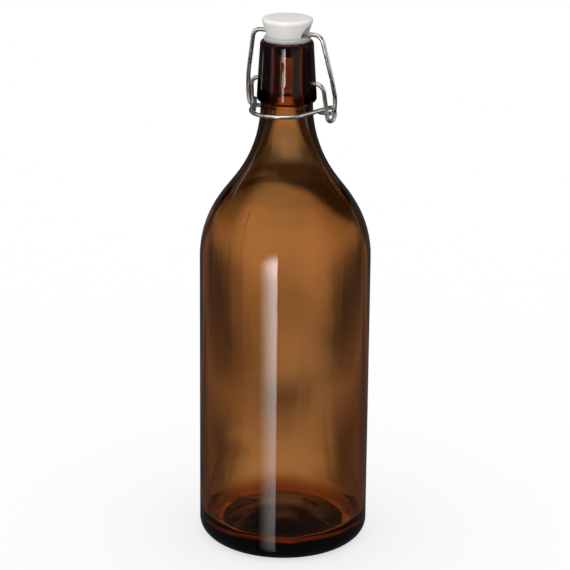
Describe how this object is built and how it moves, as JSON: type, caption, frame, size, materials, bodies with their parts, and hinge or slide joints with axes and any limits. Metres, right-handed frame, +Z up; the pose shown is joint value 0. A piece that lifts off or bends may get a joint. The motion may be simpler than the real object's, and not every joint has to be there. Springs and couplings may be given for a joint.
{
  "type": "swing top bottle",
  "caption": "Round amber glass bottle with a domed shoulder and slim neck, closed by a wire lever and bail that clamp a stopper and seal on its mouth.",
  "frame": {"origin": "middle of the base, on the surface that the bottle stands on", "axes": "+Z up the bottle's axis, X along the pivots of the wire closure, -Y towards the finger ring"},
  "size_m": [0.092, 0.092, 0.2884],
  "materials": {
    "amber_glass": "clear gloss, amber",
    "lever_steel": "bright plated spring wire",
    "bail_steel": "bright plated spring wire",
    "stopper_plastic": "milky white, soft gloss",
    "seal_rubber": "translucent grey silicone"
  },
  "bodies": {
    "bottle": {"glass_bottle": "amber_glass"},
    "lever": {"lever_wire": "lever_steel"},
    "bail": {"bail_wire": "bail_steel"},
    "stopper": {"stopper": "stopper_plastic", "seal": "seal_rubber"}
  },
  "joints": [
    {"name": "lever_hinge", "type": "hinge", "parent": "bottle", "child": "lever", "pos_m": [0, 0, 0.2547], "axis": [-1, 0, 0], "range_deg": [0, 90], "deforming": ["seal"]},
    {"name": "bail_hinge", "type": "hinge", "parent": "lever", "child": "bail", "pos_m": [0, 0.0062, 0.2381], "axis": [-1, 0, 0], "range_deg": [-62, 5]},
    {"name": "stopper_hinge", "type": "hinge", "parent": "bail", "child": "stopper", "pos_m": [0, 0, 0.2804], "axis": [-1, 0, 0], "range_deg": [-37, 5]}
  ],
  "couplings": [
    {"joint": "bail_hinge", "follows": "lever_hinge", "ratio": -0.61},
    {"joint": "stopper_hinge", "follows": "lever_hinge", "ratio": -0.35}
  ]
}
